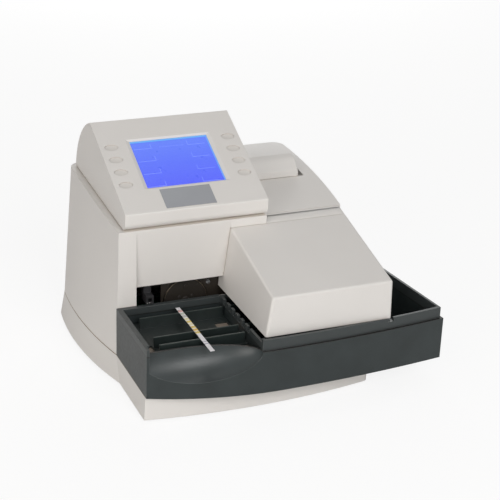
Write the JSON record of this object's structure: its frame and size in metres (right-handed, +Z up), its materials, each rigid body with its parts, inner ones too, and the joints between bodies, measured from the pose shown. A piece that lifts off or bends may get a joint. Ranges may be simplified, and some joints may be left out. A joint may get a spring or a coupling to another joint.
{
  "type": "urine analyzer",
  "caption": "Bench urine analyzer with a sliding test strip tray, read head cover, tilted display with dished keys, and a lidded printer on a flared off-white casing.",
  "frame": {"origin": "centre of the bounding box's bottom face, on the surface the feet stand on", "axes": "+X to the right seen from the front, +Y from the front to the rear, +Z up"},
  "size_m": [0.3741, 0.345, 0.2681],
  "materials": {
    "housing_plastic": "fine satin grain",
    "base_plastic": "fine satin grain",
    "key_plastic": "smooth satin",
    "tray_plastic": "satin grain",
    "platform_plastic": "satin",
    "table_plastic": "satin",
    "drip_plastic": "matte",
    "foot_rubber": "matte",
    "platen_rubber": "smooth",
    "steel": "ground",
    "chassis_steel": "zinc plated",
    "mechanism_paint": "dark satin paint",
    "disc_metal": "dark satin, worn edge",
    "motor_steel": "plated can",
    "black_plastic": "satin",
    "inlet_plastic": "semi gloss",
    "port_metal": "nickel plated",
    "panel_paint": "fine texture paint",
    "screen_glass": "clear",
    "lcd_blue": "lit display",
    "lens_glass": "polished",
    "circuit_board": "solder mask",
    "label_film": "silver film",
    "roll_paper": "thermal paper",
    "strip_film": "white plastic film"
  },
  "bodies": {
    "housing": {"base_shell": "base_plastic", "feet": "foot_rubber", "tray_runners": "steel", "upper_shell": "housing_plastic", "read_head_cover": "housing_plastic", "chassis_plate": "chassis_steel", "machine_screws": "steel", "mechanism_plate": "mechanism_paint", "disc_motor": "motor_steel", "slide_brackets": "steel", "slide_rods": "steel", "slide_motor": "motor_steel", "rail_bracket": "steel", "carriage_rails": "steel", "carriage_motor": "motor_steel", "display_shell": "housing_plastic", "display_base": "housing_plastic", "screen_window": "screen_glass", "lcd_module": "lcd_blue", "keypad_board": "circuit_board", "label_plate": "label_film", "printer_frame": "housing_plastic", "print_head": "black_plastic", "tear_bar": "steel", "paper_spindle": "black_plastic", "lid_hinge_pin": "steel", "board_standoffs": "circuit_board", "main_board": "circuit_board", "power_supply": "chassis_steel", "rear_panel": "panel_paint", "mains_inlet": "inlet_plastic", "power_switch_frame": "inlet_plastic", "data_ports": "port_metal"},
    "tray": {"tray_body": "tray_plastic", "drip_plate": "drip_plastic", "strip_platform": "platform_plastic", "fixed_ribs": "platform_plastic", "test_strip": "strip_film"},
    "left_crank": {"crank_left": "steel"},
    "right_crank": {"crank_right": "steel"},
    "table": {"moving_table": "table_plastic"},
    "disc": {"drive_disc": "disc_metal"},
    "pusher": {"pusher_carriage": "black_plastic"},
    "push_screw": {"slide_screw": "steel"},
    "read_head": {"read_head_carriage": "black_plastic", "lamp_board": "circuit_board", "read_head_lens": "lens_glass"},
    "read_head_screw": {"carriage_screw": "steel"},
    "lid": {"printer_lid": "housing_plastic"},
    "roll": {"paper_roll": "roll_paper"},
    "platen": {"platen_roller": "platen_rubber"},
    "rocker": {"power_rocker": "inlet_plastic"},
    "key_left_1": {"key_left_1": "key_plastic"},
    "key_left_2": {"key_left_2": "key_plastic"},
    "key_left_3": {"key_left_3": "key_plastic"},
    "key_left_4": {"key_left_4": "key_plastic"},
    "key_right_1": {"key_right_1": "key_plastic"},
    "key_right_2": {"key_right_2": "key_plastic"},
    "key_right_3": {"key_right_3": "key_plastic"},
    "key_right_4": {"key_right_4": "key_plastic"}
  },
  "joints": [
    {"name": "tray_slide", "type": "slide", "parent": "housing", "child": "tray", "axis": [0, -1, 0], "range_m": [0, 0.12]},
    {"name": "crank_left_spin", "type": "hinge", "parent": "tray", "child": "left_crank", "pos_m": [-0.0064, -0.091, 0.055], "axis": [0, 1, 0], "continuous": true},
    {"name": "crank_right_spin", "type": "hinge", "parent": "tray", "child": "right_crank", "pos_m": [0.0836, -0.091, 0.055], "axis": [0, 1, 0], "continuous": true},
    {"name": "table_level", "type": "hinge", "parent": "left_crank", "child": "table", "pos_m": [-0.0064, -0.091, 0.052], "axis": [0, 1, 0], "continuous": true},
    {"name": "disc_spin", "type": "hinge", "parent": "housing", "child": "disc", "pos_m": [-0.0769, -0.0165, 0.081], "axis": [0, 1, 0], "continuous": true},
    {"name": "pusher_slide", "type": "slide", "parent": "housing", "child": "pusher", "axis": [1, 0, 0], "range_m": [0, 0.078]},
    {"name": "slide_screw_spin", "type": "hinge", "parent": "housing", "child": "push_screw", "pos_m": [-0.0964, -0.0215, 0.143], "axis": [-1, 0, 0], "range_deg": [0, 2815]},
    {"name": "read_head_slide", "type": "slide", "parent": "housing", "child": "read_head", "axis": [0, -1, 0], "range_m": [0, 0.08]},
    {"name": "carriage_screw_spin", "type": "hinge", "parent": "housing", "child": "read_head_screw", "pos_m": [0.0446, -0.079, 0.127], "axis": [0, 1, 0], "range_deg": [0, 2885]},
    {"name": "printer_lid_hinge", "type": "hinge", "parent": "housing", "child": "lid", "pos_m": [0.0566, 0.1244, 0.189], "axis": [-1, 0, 0], "range_deg": [0, 70]},
    {"name": "paper_roll_spin", "type": "hinge", "parent": "housing", "child": "roll", "pos_m": [0.0566, 0.102, 0.164], "axis": [1, 0, 0], "continuous": true},
    {"name": "platen_spin", "type": "hinge", "parent": "housing", "child": "platen", "pos_m": [0.0566, 0.0639, 0.1805], "axis": [1, 0, 0], "continuous": true},
    {"name": "power_rocker_tip", "type": "hinge", "parent": "housing", "child": "rocker", "pos_m": [-0.0553, 0.1645, 0.069], "axis": [-1, 0, 0], "range_deg": [0, 16]},
    {"name": "key_left_1_press", "type": "slide", "parent": "housing", "child": "key_left_1", "axis": [0, 0.429, -0.9033], "range_m": [0, 0.0008], "stiffness_N_per_m": 400, "springref_m": -0.0005},
    {"name": "key_left_2_press", "type": "slide", "parent": "housing", "child": "key_left_2", "axis": [0, 0.429, -0.9033], "range_m": [0, 0.0008], "stiffness_N_per_m": 400, "springref_m": -0.0005},
    {"name": "key_left_3_press", "type": "slide", "parent": "housing", "child": "key_left_3", "axis": [0, 0.429, -0.9033], "range_m": [0, 0.0008], "stiffness_N_per_m": 400, "springref_m": -0.0005},
    {"name": "key_left_4_press", "type": "slide", "parent": "housing", "child": "key_left_4", "axis": [0, 0.429, -0.9033], "range_m": [0, 0.0008], "stiffness_N_per_m": 400, "springref_m": -0.0005},
    {"name": "key_right_1_press", "type": "slide", "parent": "housing", "child": "key_right_1", "axis": [0, 0.429, -0.9033], "range_m": [0, 0.0008], "stiffness_N_per_m": 400, "springref_m": -0.0005},
    {"name": "key_right_2_press", "type": "slide", "parent": "housing", "child": "key_right_2", "axis": [0, 0.429, -0.9033], "range_m": [0, 0.0008], "stiffness_N_per_m": 400, "springref_m": -0.0005},
    {"name": "key_right_3_press", "type": "slide", "parent": "housing", "child": "key_right_3", "axis": [0, 0.429, -0.9033], "range_m": [0, 0.0008], "stiffness_N_per_m": 400, "springref_m": -0.0005},
    {"name": "key_right_4_press", "type": "slide", "parent": "housing", "child": "key_right_4", "axis": [0, 0.429, -0.9033], "range_m": [0, 0.0008], "stiffness_N_per_m": 400, "springref_m": -0.0005}
  ],
  "couplings": [
    {"joint": "crank_right_spin", "follows": "crank_left_spin", "ratio": 1},
    {"joint": "table_level", "follows": "crank_left_spin", "ratio": -1},
    {"joint": "slide_screw_spin", "follows": "pusher_slide", "rad_per_m": 628.32},
    {"joint": "carriage_screw_spin", "follows": "read_head_slide", "rad_per_m": 628.32},
    {"joint": "platen_spin", "follows": "paper_roll_spin", "ratio": -4.4444}
  ]
}
